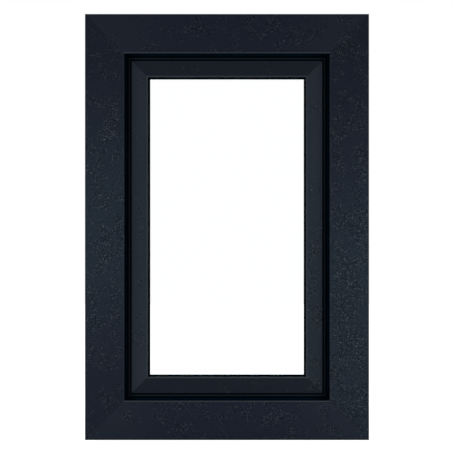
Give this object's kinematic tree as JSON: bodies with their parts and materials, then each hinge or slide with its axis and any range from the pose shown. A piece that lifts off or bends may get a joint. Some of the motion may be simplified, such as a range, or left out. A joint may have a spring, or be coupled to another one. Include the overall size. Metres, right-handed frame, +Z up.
{
  "type": "window",
  "caption": "Closed inward-opening PVC window: welded grey frame, one sash in it, and a sealed clear glass unit held by clipped beads, with a handle and hinges on the room side.",
  "frame": {"origin": "middle of the frame's underside, half way through the frame's 70 mm depth", "axes": "+X to the right as seen from outside, +Y from the outside to the room, +Z up"},
  "size_m": [0.5, 0.1319, 0.75],
  "materials": {
    "profile_foil": "fine-grained anthracite foil",
    "gasket": "matt black",
    "glass": "clear float glass",
    "spacer": "mill finish",
    "reinforcement": "galvanised",
    "locking_gear": "zinc plated",
    "setting_block": "moulded",
    "handle": "satin anodised",
    "hinge": "silver grey powder coat"
  },
  "bodies": {
    "root": {"frame_top": "profile_foil", "frame_bottom": "profile_foil", "frame_left": "profile_foil", "frame_right": "profile_foil", "sash_top": "profile_foil", "sash_bottom": "profile_foil", "sash_left": "profile_foil", "sash_right": "profile_foil", "bead_top": "profile_foil", "bead_bottom": "profile_foil", "bead_left": "profile_foil", "bead_right": "profile_foil", "stop_gasket_top": "gasket", "stop_gasket_bottom": "gasket", "stop_gasket_left": "gasket", "stop_gasket_right": "gasket", "lap_gasket_top": "gasket", "lap_gasket_bottom": "gasket", "lap_gasket_left": "gasket", "lap_gasket_right": "gasket", "glazing_gasket_top": "gasket", "glazing_gasket_bottom": "gasket", "glazing_gasket_left": "gasket", "glazing_gasket_right": "gasket", "bead_gasket_top": "gasket", "bead_gasket_bottom": "gasket", "bead_gasket_left": "gasket", "bead_gasket_right": "gasket", "spacer_top": "spacer", "spacer_bottom": "spacer", "spacer_left": "spacer", "spacer_right": "spacer", "outer_pane": "glass", "inner_pane": "glass", "setting_blocks": "setting_block", "frame_steels": "reinforcement", "sash_steels": "reinforcement", "gear_rails": "locking_gear", "handle_rose": "handle", "handle_lever": "handle", "lower_hinge_frame_leaf": "hinge", "lower_hinge_sash_leaf": "hinge", "upper_hinge_frame_leaf": "hinge", "upper_hinge_sash_leaf": "hinge"}
  },
  "joints": []
}
